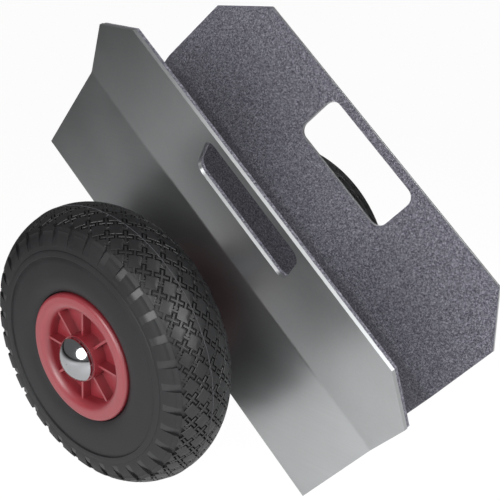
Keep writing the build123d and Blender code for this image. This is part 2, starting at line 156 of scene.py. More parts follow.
@dataclass(frozen=True)
class Finish:
    """A surface finish with a grain, a slow tone change and a relief, all on Object coordinates.

    Attributes:
        name: what the real material is and how its surface was made.
        dark, light: colours between which the tone drifts.
        roughness: least and greatest roughness.
        metallic: 1 for bare metal.
        ior: index of refraction; metals keep the default.
        drift_mm: size of the slow tone changes.
        grain_mm: size of the fine grain.
        stretch: how much longer than wide the grain is, along the jaws.
        relief_mm: height of the grain.
        specular: share of the plain gloss, 0.5 for a clean surface.
        skin: weight of the satin skin that a polished mould leaves.
    """

    name: str
    dark: str
    light: str
    roughness: tuple[float, float] = (0.4, 0.5)
    metallic: float = 0.0
    ior: float = 1.5
    drift_mm: float = 60.0
    grain_mm: float = 0.6
    stretch: float = 1.0
    relief_mm: float = 0.01
    specular: float = 0.5
    skin: float = 0.0

    # The skin's roughness, the grain's share in the tone, and the noise levels that tone and gloss span.
    SKIN_ROUGHNESS = 0.42
    GRAIN_SHARE = 0.35
    TONE_SPAN = (0.32, 0.68)
    GLOSS_SPAN = (0.3, 0.7)

    def material(self) -> bpy.types.Material:
        """Builds the finish's material.

        Returns:
            The material, with its shader linked to the output.
        """
        made = bpy.data.materials.new(self.name)
        tree = blank_tree(made)
        place = add(tree, "ShaderNodeTexCoord").outputs["Object"]
        shader = add(tree, "ShaderNodeBsdfPrincipled", {
            "Metallic": self.metallic, "IOR": self.ior, "Specular IOR Level": self.specular,
            "Coat Weight": self.skin, "Coat Roughness": self.SKIN_ROUGHNESS, **self.pattern(tree, place),
        })
        add(tree, "ShaderNodeOutputMaterial", {"Surface": shader.outputs["BSDF"]})
        return made

    def pattern(self, tree: bpy.types.NodeTree, place: bpy.types.NodeSocket) -> dict[str, Any]:
        """Builds the tone, the roughness and the relief.

        Args:
            tree: the material's nodes.
            place: the Object coordinates.

        Returns:
            What they give the shader's inputs.
        """
        drift = add(tree, "ShaderNodeTexNoise", {
            "Vector": place, "Scale": per_metre(self.drift_mm), "Detail": 3.0,
        })
        along = add(tree, "ShaderNodeMapping", {
            "Vector": place, "Rotation": (0.0, -TIP_ANGLE, 0.0), "Scale": (1.0 / self.stretch, 1.0, 1.0),
        }, vector_type="POINT")
        grain = add(tree, "ShaderNodeTexNoise", {
            "Vector": along.outputs[0], "Scale": per_metre(self.grain_mm), "Detail": 4.0,
        })
        blend = add(tree, "ShaderNodeMix", {
            "Factor": self.GRAIN_SHARE, "A": drift.outputs["Fac"], "B": grain.outputs["Fac"],
        })
        tone = add(tree, "ShaderNodeValToRGB", {"Fac": blend.outputs["Result"]})
        for stop, level, colour in zip(tone.color_ramp.elements, self.TONE_SPAN, (self.dark, self.light)):
            stop.position = level
            stop.color = linear(colour)
        rough = add(tree, "ShaderNodeMapRange", {
            "Value": blend.outputs["Result"],
            "From Min": self.GLOSS_SPAN[0], "From Max": self.GLOSS_SPAN[1],
            "To Min": self.roughness[0], "To Max": self.roughness[1],
        })
        bump = add(tree, "ShaderNodeBump", {
            "Height": grain.outputs["Fac"], "Strength": 1.0, "Distance": self.relief_mm * MM,
        })
        return {
            "Base Color": tone.outputs["Color"], "Roughness": rough.outputs["Result"],
            "Normal": bump.outputs["Normal"],
        }


@dataclass(frozen=True)
class FeltFinish(Finish):
    """Pressed needle felt from mixed recycled fibres: dark and pale flecks in a violet grey.

    Attributes:
        fleck_mm: size of the flecks.
        pale: colour of the pale flecks; dark and light are those of the other fibres.
    """

    fleck_mm: float = 1.8
    pale: str = "#9d9ca6"

    # The single fibres' share in the tone, and the noise levels of its three colours.
    FIBRE_SHARE = 0.45
    DARK_LEVEL = 0.4
    LIGHT_LEVEL = 0.5
    PALE_LEVEL = 0.6

    def pattern(self, tree: bpy.types.NodeTree, place: bpy.types.NodeSocket) -> dict[str, Any]:
        """Builds the flecks, the fibres and the nap, with a dry, fuzzy gloss.

        Args:
            tree: the material's nodes.
            place: the Object coordinates.

        Returns:
            What they give the shader's inputs.
        """
        clumps = add(tree, "ShaderNodeTexNoise", {
            "Vector": place, "Scale": per_metre(self.fleck_mm),
            "Detail": 6.0, "Roughness": 0.75, "Distortion": 0.6,
        })
        fibres = add(tree, "ShaderNodeTexNoise", {
            "Vector": place, "Scale": per_metre(self.grain_mm),
            "Detail": 3.0, "Roughness": 0.7, "Distortion": 1.2,
        })
        mixed = add(tree, "ShaderNodeMix", {
            "Factor": self.FIBRE_SHARE, "A": clumps.outputs["Fac"], "B": fibres.outputs["Fac"],
        })
        tone = add(tree, "ShaderNodeValToRGB", {"Fac": mixed.outputs["Result"]})
        stops = tone.color_ramp.elements
        stops[0].position, stops[0].color = self.DARK_LEVEL, linear(self.dark)
        stops[1].position, stops[1].color = self.PALE_LEVEL, linear(self.pale)
        stops.new(self.LIGHT_LEVEL).color = linear(self.light)
        bump = add(tree, "ShaderNodeBump", {
            "Height": mixed.outputs["Result"], "Strength": 1.0, "Distance": self.relief_mm * MM,
        })
        return {
            "Base Color": tone.outputs["Color"], "Normal": bump.outputs["Normal"], "Roughness": 0.95,
            "Sheen Weight": 0.25, "Specular IOR Level": 0.2,
        }


class Palette(Enum):
    """Every finish on the cart, under the record's slot name.

    Real grains and fibres are too fine to show in the render. The grains are drawn 0.5 to 0.9 mm across
    and the felt's flecks 1.8 mm, as coarse as they need to show.
    """

    # Zinc-coated cold-rolled sheet: an even satin grey, a little dulled by the coat,
    # with faint lines along it.
    ZINC_SHEET = ("zinc_sheet", Finish(
        "zinc_coated_sheet_rolled", "#b5b7b8", "#c4c6c7", roughness=(0.31, 0.4), metallic=0.95,
        drift_mm=90.0, grain_mm=0.9, stretch=60.0, relief_mm=0.004))
    # Needle felt of recycled fibres: a dry, speckled violet grey without any gloss.
    FELT = ("felt", FeltFinish("needle_felt_pressed", "#33313c", "#64636d", grain_mm=0.9, relief_mm=0.5))
    # Bright drawn steel: a clear but soft gloss.
    AXLE_STEEL = ("axle_steel", Finish(
        "steel_drawn_bright", "#8d8f91", "#a9abad", roughness=(0.24, 0.34), metallic=1.0,
        drift_mm=30.0, relief_mm=0.003))
    # Zinc-plated small parts: paler and glossier than the sheet.
    PLATED_STEEL = ("plated_steel", Finish(
        "steel_zinc_plated", "#a8acb1", "#c4c7ca", roughness=(0.22, 0.34), metallic=1.0,
        drift_mm=20.0, relief_mm=0.003))
    # Hardened, phosphated spring steel: dark with a dull sheen.
    SPRING_STEEL = ("spring_steel", Finish(
        "spring_steel_phosphated", "#3c3d3f", "#54565a", roughness=(0.4, 0.52), metallic=1.0,
        drift_mm=12.0, grain_mm=0.5, relief_mm=0.004))
    # Moulded rubber buffers: black, dull.
    BUFFER_RUBBER = ("buffer_rubber", Finish(
        "rubber_moulded_black", "#1b1b1c", "#262627", roughness=(0.6, 0.75), ior=1.52,
        drift_mm=14.0, grain_mm=0.5))
    # Chromed sheet cap: a near mirror with faint polishing marks.
    CAP_CHROME = ("cap_chrome", Finish(
        "steel_chromed_polished", "#b9babd", "#c6c7ca", roughness=(0.09, 0.15), metallic=1.0,
        drift_mm=16.0, grain_mm=0.5, relief_mm=0.001))
    # Injection-moulded polypropylene: deep red under a satin skin, with a fine mould grain.
    RIM_PLASTIC = ("rim_plastic", Finish(
        "polypropylene_moulded_red", "#821f29", "#8b242e", roughness=(0.36, 0.46), ior=1.49,
        drift_mm=40.0, grain_mm=0.7, specular=1.0, skin=0.8))
    # Moulded tyre rubber: charcoal with a faint grey bloom.
    TYRE_RUBBER = ("tyre_rubber", Finish(
        "tyre_rubber_moulded", "#151517", "#1f1f21", roughness=(0.5, 0.62), ior=1.52,
        drift_mm=35.0, relief_mm=0.02, specular=0.55))
    # The floors of the lug gaps: the same rubber, smooth from the mould's bright steel, and a little paler
    # in tone as a painted highlight.
    TYRE_GAP = ("tyre_rubber", Finish(
        "tyre_rubber_gap_smooth_painted_highlight", "#19191b", "#232325", roughness=(0.36, 0.46), ior=1.52,
        drift_mm=35.0, specular=0.75))
    # The tread blocks: the same rubber, smooth too.
    TYRE_TREAD = ("tyre_rubber", Finish(
        "tyre_rubber_smooth", "#151517", "#1f1f21", roughness=(0.38, 0.48), ior=1.52,
        drift_mm=35.0, specular=0.6))
    # The thin flash at the mould's joint: the same rubber, with a paler tone that is a painted highlight
    # along its ridge.
    TYRE_FLASH = ("tyre_rubber", Finish(
        "tyre_rubber_flash_painted_highlight", "#4a4a4d", "#58585c", roughness=(0.5, 0.6), ior=1.52,
        drift_mm=20.0))
    # Injection-moulded polyamide: off-white, satin.
    CAGE_PLASTIC = ("cage_plastic", Finish(
        "polyamide_moulded_natural", "#cfc9b6", "#dcd7c6", ior=1.53, drift_mm=20.0))

    def __init__(self, slot: str, finish: Finish) -> None:
        """Keeps the slot's name and its finish."""
        self.slot = slot
        self.finish = finish

    def paint(self, obj: bpy.types.Object) -> None:
        """Gives an object this finish in all its material slots.

        Args:
            obj: a node of the frame or a new piece.
        """
        if not obj.data.materials:
            obj.data.materials.append(self.material)
        for index in range(len(obj.data.materials)):
            obj.data.materials[index] = self.material

    @property
    def material(self) -> bpy.types.Material:
        """The finish's material, built at its first use."""
        return bpy.data.materials.get(self.finish.name) or self.finish.material()


def rest_all() -> None:
    """Leaves edit mode and deselects everything."""
    if bpy.context.object and bpy.context.object.mode != "OBJECT":
        bpy.ops.object.mode_set(mode="OBJECT")
    bpy.ops.object.select_all(action="DESELECT")


def select_all() -> None:
    """Selects the whole of the open mesh."""
    bpy.ops.mesh.select_all(action="SELECT")


@dataclass
class Workpiece:
    """A mesh that is modelled with Blender's operators.

    Attributes:
        obj: its object.
    """

    obj: bpy.types.Object

    @classmethod
    def plane(cls, name: str, size: float = SEED_SIZE) -> "Workpiece":
        """Starts a piece from a square plane at the origin.

        Args:
            name: the piece's name.
            size: the square's side, in metres.

        Returns:
            The new piece.
        """
        rest_all()
        bpy.ops.mesh.primitive_plane_add(size=size)
        return cls._named(name)

    @classmethod
    def grid(cls, name: str, columns: int, rows: int) -> "Workpiece":
        """Starts a piece from a square grid of side 1 at the origin, standing on the XZ plane.

        Args:
            name: the piece's name.
            columns, rows: faces each way.

        Returns:
            The new piece.
        """
        rest_all()
        bpy.ops.mesh.primitive_grid_add(
            x_subdivisions=columns, y_subdivisions=rows, size=1.0, rotation=(math.pi / 2, 0.0, 0.0))
        piece = cls._named(name)
        bpy.ops.object.transform_apply(location=True, rotation=True, scale=True)
        return piece

    @classmethod
    def _named(cls, name: str) -> "Workpiece":
        """Takes the active object as a piece and names it."""
        obj = bpy.context.object
        obj.name = obj.data.name = name
        return cls(obj)

    def activate(self) -> None:
        """Makes the piece the active object and the only one selected."""
        rest_all()
        self.obj.select_set(True)
        bpy.context.view_layer.objects.active = self.obj

    def edit(self) -> None:
        """Opens the piece in edit mode."""
        self.activate()
        bpy.ops.object.mode_set(mode="EDIT")

    def pick(self, part: Part, test: Callable[[Any], bool]) -> None:
        """Selects the elements that pass a test, and nothing else.

        Args:
            part: what to select.
            test: takes an edge or a face and says whether it is wanted.
        """
        bpy.ops.mesh.select_mode(type=part.value)
        bpy.ops.mesh.select_all(action="DESELECT")
        shape = bmesh.from_edit_mesh(self.obj.data)
        found = shape.edges if part is Part.EDGES else shape.faces
        for element in [element for element in found if test(element)]:
            element.select_set(True)
        shape.select_flush_mode()
        bmesh.update_edit_mesh(self.obj.data)

    def draw_chain(self, points: Sequence[Vector]) -> None:
        """Turns the piece into a chain of edges, by extruding one vertex from point to point.

        Args:
            points: the chain's points, in metres.
        """
        self.edit()
        bpy.ops.mesh.select_mode(type="VERT")
        select_all()
        bpy.ops.mesh.merge(type="CENTER")
        bpy.ops.transform.translate(value=points[0])
        for start, end in zip(points, points[1:]):
            bpy.ops.mesh.extrude_region_move(TRANSFORM_OT_translate={"value": end - start})

    def close_up(self) -> None:
        """Merges doubles and turns the faces outwards."""
        select_all()
        bpy.ops.mesh.remove_doubles(threshold=TINY)
        bpy.ops.mesh.normals_make_consistent(inside=False)

    def modify(self, kind: str, **settings: Any) -> None:
        """Adds a modifier and applies it.

        Args:
            kind: the modifier's type.
            **settings: its properties.
        """
        self.activate()
        modifier = self.obj.modifiers.new(kind.title(), kind)
        for name, value in settings.items():
            setattr(modifier, name, value)
        bpy.ops.object.modifier_apply(modifier=modifier.name)

    def extent(self, axis: int) -> float:
        """Measures the piece along one of its own axes.

        Args:
            axis: the axis's index.

        Returns:
            The length, in metres.
        """
        places = [vertex.co[axis] for vertex in self.obj.data.vertices]
        return max(places) - min(places)

    def bend(self, axis: str, along: int, radius: float) -> None:
        """Bends the whole piece to a radius.

        Args:
            axis: the axis that it bends about.
            along: index of the axis whose length becomes the arc.
            radius: radius of the piece's zero surface, in metres.
        """
        rest_all()
        angle = self.extent(along) / radius
        self.modify("SIMPLE_DEFORM", deform_method="BEND", deform_axis=axis, angle=angle)

    def set_down(self, place: Matrix) -> None:
        """Moves the piece to its place and applies the move to its mesh.

        Args:
            place: from the piece's own frame to the row's.
        """
        self.activate()
        self.obj.matrix_world = place
        bpy.ops.object.transform_apply(location=True, rotation=True, scale=True)

    def smooth(self, degrees: float) -> None:
        """Shades the piece smooth, except over sharp edges.

        Args:
            degrees: the angle over which an edge stays sharp.
        """
        self.activate()
        bpy.ops.object.shade_smooth_by_angle(angle=math.radians(degrees))

    def copy_turned(self, name: str) -> "Workpiece":
        """Copies the piece to the cart's other side, with a mesh of its own.

        Args:
            name: the copy's name.

        Returns:
            The copy.
        """
        twin = self.obj.copy()
        twin.data = self.obj.data.copy()
        twin.name = twin.data.name = name
        bpy.context.scene.collection.objects.link(twin)
        piece = Workpiece(twin)
        piece.set_down(HALF_TURN)
        return piece


@dataclass
class Tyre:
    """Solid rubber tyre: a casing with shoulder lugs under a tread of diamonds and crosses.

    Sizes are in millimetres, angles of edges in degrees. The wheel's own frame has the radius, the width
    from the middle plane (outboard is positive) and the angle from +X towards +Z.
    """

    radius: float = 130.0
    middle: float = 125.0
    crown_radius: float = 43.5
    pitches: int = 34
    steps_per_pitch: int = 6
    turn: float = 4.2
    row_pitch: float = 9.9
    rows: int = 6
    groove_depth: float = 2.0
    block_share: float = 0.7
    block_sink: float = 0.5
    cross_arm: float = 2.2
    cross_reach: float = 5.9
    bridge_width: float = 1.7
    bridge_length: float = 5.0
    bridge_below: float = 0.12
    edge_round: float = 0.35
    edge_angle: float = 28.65
    pick_margin: float = 1.05
    tread_edge: float = 33.3
    crown_first: int = 30
    crown_step: int = 5
    shoulder_from: float = 28.0
    row_tolerance: float = 0.05
    gap_columns: int = 2
    bulge_radius: float = 77.0
    bulge_half_width: float = 36.73
    bulge_fall: float = 0.73
    bulge_power: float = 1.5
    bead_radius: float = 60.52
    bead_fall: float = 3.95
    bead_power: int = 3
    bead_half_width: float = 26.5
    bore_radius: float = 50.86
    wall_steps: int = 12
    line_place: float = 6.0
    line_width: float = 1.0
    line_height: float = 0.38
    line_foot: float = 0.8
    smooth_angle: float = 32.0

    # Lugs from the tread's edge down, with a fine ridge: radius and half width,
    # then those of the gap's floor.
    SHOULDER = (
        (118.0, 30.0, 115.0, 29.0), (116.9, 30.7, 114.1, 29.6), (115.2, 31.7, 112.6, 30.62),
        (114.7, 32.4, 112.2, 30.89), (113.9, 32.3, 111.6, 31.29), (111.2, 33.5, 109.4, 32.78),
        (109.1, 34.3, 107.7, 33.9), (105.2, 35.31, 105.0, 35.0), (101.6, 35.62, 101.6, 35.62),
    )
    # The raised band round the sidewall and the groove inside it: radius and half width.
    BAND = (
        (98.7, 35.77), (98.35, 36.35), (97.8, 36.6), (95.5, 36.75), (93.3, 36.85), (92.9, 36.6),
        (92.5, 35.6), (91.7, 35.6), (90.9, 36.0),
    )

    @property
    def centre(self) -> Vector:
        """Middle of the right wheel, in metres."""
        return AXLE_CENTRE + Vector((0.0, -self.middle, 0.0)) * MM

    @property
    def pitch_angle(self) -> float:
        """Angle of one tread pitch."""
        return 2 * math.pi / self.pitches

    @property
    def first_gap(self) -> float:
        """Angle of the first outboard lug gap of the right wheel."""
        return math.pi - TIP_ANGLE + math.radians(self.turn)

    def at(self, angle: float, radius: float, width: float) -> Vector:
        """Places a point of the right wheel.

        Args:
            angle, radius, width: the point in the wheel's frame.

        Returns:
            The point in the row's frame, in metres.
        """
        return self.centre + Vector((radius * math.cos(angle), -width, radius * math.sin(angle))) * MM

    def polar(self, point: Vector) -> Point:
        """Finds a point of the right wheel in the wheel's frame.

        Args:
            point: the point in the row's frame, in metres.

        Returns:
            Its angle, radius and width.
        """
        local = (point - self.centre) / MM
        return math.atan2(local.z, local.x), math.hypot(local.x, local.z), -local.y

    def wall(self) -> list[tuple[float, float]]:
        """Radius and half width of the sidewall from the band down to the bead, in steps that shorten."""
        top = self.BAND[-1][0]
        rows = []
        for step in range(1, self.wall_steps + 1):
            radius = top - (top - self.bead_radius) * math.sin(math.pi / 2 * step / self.wall_steps)
            outside = max(radius - self.bulge_radius, 0.0) / (top - self.bulge_radius)
            inside = max(self.bulge_radius - radius, 0.0) / (self.bulge_radius - self.bead_radius)
            fall = self.bulge_fall * outside ** self.bulge_power + self.bead_fall * inside ** self.bead_power
            rows.append((radius, self.bulge_half_width - fall))
        return rows

    def section(self) -> list[tuple[float, float]]:
        """Outline of the casing, from the outboard bead over the tread to the inboard bead."""
        floor_radius = self.crown_radius - self.groove_depth
        crown_centre = self.radius - self.crown_radius
        bead = [(self.bore_radius, self.bead_half_width), (self.bead_radius, self.bead_half_width)]
        half = bead + self.wall()[::-1] + [*reversed(self.BAND)]
        half += [row[:2] for row in reversed(self.SHOULDER)]
        for place in (self.tread_edge, *range(self.crown_first, 0, -self.crown_step)):
            lean = place / self.crown_radius
            half.append((crown_centre + floor_radius * math.cos(lean), floor_radius * math.sin(lean)))
        crest = [(crown_centre + floor_radius, 0.0)]
        return half + crest + [(radius, -width) for radius, width in reversed(half)]

    def in_gap(self, face: Any, outboard: bool) -> bool:
        """Tells whether a face of the casing will be the floor of a lug gap.

        Args:
            face: a face of the casing's mesh.
            outboard: which shoulder the gap is on.

        Returns:
            True on that shoulder, within the columns of a gap.
        """
        angle, radius, width = self.polar(face.calc_center_median())
        out = width if outboard else -width
        on_shoulder = out > self.shoulder_from and self.SHOULDER[-1][0] < radius < self.SHOULDER[0][0]
        half_pitch = self.pitch_angle / 2
        phase = angle - self.first_gap + (0.0 if outboard else half_pitch)
        off = (phase + half_pitch) % self.pitch_angle - half_pitch
        return on_shoulder and abs(off) < self.gap_columns / 2 * self.pitch_angle / self.steps_per_pitch

    def gap_floor(self, radius: float, width: float) -> tuple[float, float]:
        """Finds the lug gap's floor under a row of the casing.

        Args:
            radius, width: the row's place.

        Returns:
            Radius and width of the floor, or the same place where the casing has no such row.
        """
        for row_radius, _, low, out in self.SHOULDER:
            if abs(row_radius - radius) < self.row_tolerance:
                return low, math.copysign(out, width)
        return radius, width

    def spin(self, steps: int, angle: float, copies: bool = False) -> None:
        """Spins the open mesh about the axle.

        Args:
            steps: how many steps it takes.
            angle: the angle of them all.
            copies: True for loose copies, False for a skin.
        """
        select_all()
        bpy.ops.mesh.spin(steps=steps, angle=angle, dupli=copies, center=self.centre, axis=(0, -1, 0))

    def casing(self, name: str) -> Workpiece:
        """Models one pitch of the casing, cuts its lug gaps and copies it round the wheel.

        Args:
            name: the piece's name.

        Returns:
            The closed casing.
        """
        start = self.first_gap - self.gap_columns * self.pitch_angle / self.steps_per_pitch
        outline = self.section()
        piece = Workpiece.plane(name)
        for choice in (Palette.TYRE_RUBBER, Palette.TYRE_GAP):
            piece.obj.data.materials.append(choice.material)
        piece.obj.active_material_index = 1
        piece.draw_chain([self.at(start, radius, width) for radius, width in [*outline, outline[0]]])
        self.spin(self.steps_per_pitch, self.pitch_angle)
        select_all()
        bpy.ops.mesh.normals_make_consistent(inside=False)
        for outboard in (True, False):
            piece.pick(Part.FACES, lambda face: self.in_gap(face, outboard))
            bpy.ops.mesh.extrude_region_move()
            bpy.ops.object.material_slot_assign()
            self.sink_gap(piece)
        bpy.ops.mesh.select_mode(type="VERT")
        self.spin(self.pitches, 2 * math.pi, copies=True)
        piece.close_up()
        rest_all()
        return piece

    def sink_gap(self, piece: Workpiece) -> None:
        """Pushes the selected floor of a lug gap in, row by row.

        Args:
            piece: the casing, in edit mode, with the floor selected.
        """
        shape = bmesh.from_edit_mesh(piece.obj.data)
        for vertex in [vertex for vertex in shape.verts if vertex.select]:
            angle, radius, width = self.polar(vertex.co)
            vertex.co = self.at(angle, *self.gap_floor(radius, width))
        bmesh.update_edit_mesh(piece.obj.data)

    def tread(self, name: str) -> Workpiece:
        """Models one pitch of the tread flat, repeats it and bends it round the crown and the wheel.

        The flat tread has X round the wheel, Z across it and Y downwards into the rubber.

        Args:
            name: the piece's name.

        Returns:
            The tread's blocks, in place on the right wheel.
        """
        pitch = self.pitch_angle * self.radius
        piece = Workpiece.plane(name)
        piece.edit()
        select_all()
        bpy.ops.mesh.delete(type="VERT")
        for row in range(-1, self.rows + 1):
            across = (self.rows / 2 - 0.5 - row) * self.row_pitch
            round_ = 0.0 if row % 2 == 0 else pitch / 2
            self.add_diamond(round_, across, pitch)
            if 0 <= row < self.rows:
                self.add_cross(piece, pitch / 2 - round_, across, pitch)
            for way in (1, -1) if row >= 0 else ():
                self.add_bridge(round_ + way * pitch / 4, across + self.row_pitch / 2, pitch, way)
        select_all()
        bpy.ops.mesh.fill_holes(sides=0)
        bpy.ops.mesh.normals_make_consistent(inside=False)
        edge = self.tread_edge * MM
        for side in (1, -1):
            select_all()
            bpy.ops.mesh.bisect(
                plane_co=(0.0, 0.0, side * edge), plane_no=(0.0, 0.0, side), clear_outer=True, use_fill=True)
        self.round_tops(piece)
        rest_all()
        piece.modify(
            "ARRAY", count=self.pitches, use_relative_offset=False, use_constant_offset=True,
            constant_offset_displace=(pitch * MM, 0.0, 0.0))
        piece.bend("X", 2, self.crown_radius * MM)
        piece.bend("Z", 0, self.radius * MM)
        outwards = Vector((math.cos(self.first_gap), 0.0, math.sin(self.first_gap)))
        onwards = Vector((-outwards.z, 0.0, outwards.x))
        turn = Matrix((onwards, -outwards, Vector((0.0, -1.0, 0.0)))).transposed().to_4x4()
        piece.set_down(Matrix.Translation(self.centre + outwards * self.radius * MM) @ turn)
        return piece

    def raise_block(self, below: float = 0.0) -> None:
        """Extrudes the selected flat block up from the casing's floor.

        Args:
            below: how far under the tread's face it stops.
        """
        rise = (self.groove_depth + self.block_sink - below) * MM
        bpy.ops.mesh.extrude_region_move(TRANSFORM_OT_translate={"value": (0.0, -rise, 0.0)})

    def lean_to_rows(self, middle: Vector, pitch: float) -> None:
        """Turns what is selected from square to the lines between the diamonds.

        Args:
            middle: the point that stays in place, in metres.
            pitch: length of one pitch round the wheel.
        """
        bpy.ops.transform.rotate(
            value=math.pi / 4, orient_axis="Y", orient_type="GLOBAL", center_override=middle)
        side_length = math.hypot(pitch / 2, self.row_pitch)
        stretch = (math.sqrt(2) * pitch / 2 / side_length, 1.0, math.sqrt(2) * self.row_pitch / side_length)
        bpy.ops.transform.resize(value=stretch, center_override=middle)

    def start_block(self, round_: float, across: float, size: float, turn: float = 0.0) -> Vector:
        """Adds a square to the open flat tread, at the depth where the blocks start.

        Args:
            round_, across: the square's middle.
            size: its side.
            turn: its angle.

        Returns:
            The middle, in metres.
        """
        middle = Vector((round_ * MM, (self.groove_depth + self.block_sink) * MM, across * MM))
        bpy.ops.mesh.select_all(action="DESELECT")
        bpy.ops.mesh.primitive_plane_add(size=size * MM, location=middle, rotation=(math.pi / 2, turn, 0.0))
        return middle

    def add_bridge(self, round_: float, across: float, pitch: float, way: int) -> None:
        """Adds to the open flat tread the short bridge between two diamonds and the arms of two crosses.

        Args:
            round_, across: the bridge's middle.
            pitch: length of one pitch round the wheel.
            way: 1 for a bridge that rises along the wheel, -1 for one that falls.
        """
        middle = self.start_block(round_, across, 1.0)
        sides = (self.bridge_length, self.bridge_width)[::way]
        bpy.ops.transform.resize(value=(sides[0], 1.0, sides[1]), center_override=middle)
        self.lean_to_rows(middle, pitch)
        self.raise_block(self.bridge_below)

    def add_diamond(self, round_: float, across: float, pitch: float) -> None:
        """Adds one diamond block to the open flat tread.

        Args:
            round_, across: the block's middle.
            pitch: length of one pitch round the wheel.
        """
        middle = self.start_block(round_, across, math.sqrt(2), math.pi / 4)
        half = (pitch / 2 * self.block_share, 1.0, self.row_pitch * self.block_share)
        bpy.ops.transform.resize(value=half, center_override=middle)
        bpy.ops.mesh.subdivide(number_cuts=2)
        self.raise_block()

    def add_cross(self, piece: Workpiece, round_: float, across: float, pitch: float) -> None:
        """Adds one cross between four diamonds to the flat tread.

        Args:
            piece: the tread, in edit mode.
            round_, across: the cross's middle.
            pitch: length of one pitch round the wheel.
        """
        middle = self.start_block(round_, across, self.cross_arm)
        half = self.cross_arm / 2 * MM
        reach = self.cross_reach * MM - half
        for way in (Vector((1, 0, 0)), Vector((-1, 0, 0)), Vector((0, 0, 1)), Vector((0, 0, -1))):
            side = middle + way * half
            piece.pick(Part.EDGES, lambda edge: (self.edge_middle(edge) - side).length < TINY)
            bpy.ops.mesh.extrude_region_move(TRANSFORM_OT_translate={"value": way * reach})
        farthest = self.pick_margin * self.cross_reach * MM
        largest = self.pick_margin * self.cross_arm * self.cross_reach * MM * MM

        def in_cross(face: Any) -> bool:
            """Whether a face is the middle or an arm of the new cross."""
            away = face.calc_center_median() - middle
            near = away.length < farthest and abs(away.y) < TINY
            return near and len(face.verts) == 4 and face.calc_area() < largest

        piece.pick(Part.FACES, in_cross)
        self.lean_to_rows(middle, pitch)
        self.raise_block()

    @staticmethod
    def edge_middle(edge: Any) -> Vector:
        """Middle of an edge."""
        return sum((vertex.co for vertex in edge.verts), Vector()) / 2

    def round_tops(self, piece: Workpiece) -> None:
        """Bevels the blocks' upper edges.

        Args:
            piece: the tread, in edit mode.
        """
        sharp = math.radians(self.edge_angle)

        def is_rim(edge: Any) -> bool:
            """Whether an edge runs round the top of a block."""
            on_top = all(abs(vertex.co.y) < TINY for vertex in edge.verts)
            return on_top and len(edge.link_faces) == 2 and edge.calc_face_angle() > sharp

        piece.pick(Part.EDGES, is_rim)
        bpy.ops.mesh.bevel(offset=self.edge_round * MM, segments=1, affect="EDGES")

    def mould_line(self, name: str) -> Workpiece:
        """Spins the thin raised line that the mould's joint leaves round the tread.

        Args:
            name: the piece's name.

        Returns:
            The closed line.
        """
        lean = self.line_place / self.crown_radius
        half = self.line_width / 2 / self.crown_radius
        centre_radius = self.radius - self.crown_radius

        def point(angle: float, height: float) -> Vector:
            """Point of the line's section over the crown."""
            reach = self.crown_radius + height
            return self.at(self.first_gap, centre_radius + reach * math.cos(angle), reach * math.sin(angle))

        foot = point(lean - half, -self.line_foot)
        chain = [foot, point(lean, self.line_height), point(lean + half, -self.line_foot), foot]
        piece = Workpiece.plane(name)
        piece.draw_chain(chain)
        select_all()
        bpy.ops.mesh.remove_doubles(threshold=TINY)
        self.spin(self.pitches * self.steps_per_pitch, 2 * math.pi)
        piece.close_up()
        rest_all()
        return piece

    def build(self) -> None:
        """Builds both tyres and sets them on their wheels."""
        right = self.casing("right_tyre_rubber")
        blocks = [self.tread("tread_blocks"), self.mould_line("mould_line")]
        Palette.TYRE_TREAD.paint(blocks[0].obj)
        Palette.TYRE_FLASH.paint(blocks[1].obj)
        rest_all()
        for block in blocks:
            block.obj.select_set(True)
        right.obj.select_set(True)
        bpy.context.view_layer.objects.active = right.obj
        bpy.ops.object.join()
        right.smooth(self.smooth_angle)
        left = right.copy_turned("left_tyre_rubber")
        for side, piece in ((Side.RIGHT, right), (Side.LEFT, left)):
            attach(piece.obj, side.node("wheel"))
            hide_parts(side.node("tyre"))
            LOG.info("%s: %d faces", piece.obj.name, len(piece.obj.data.polygons))


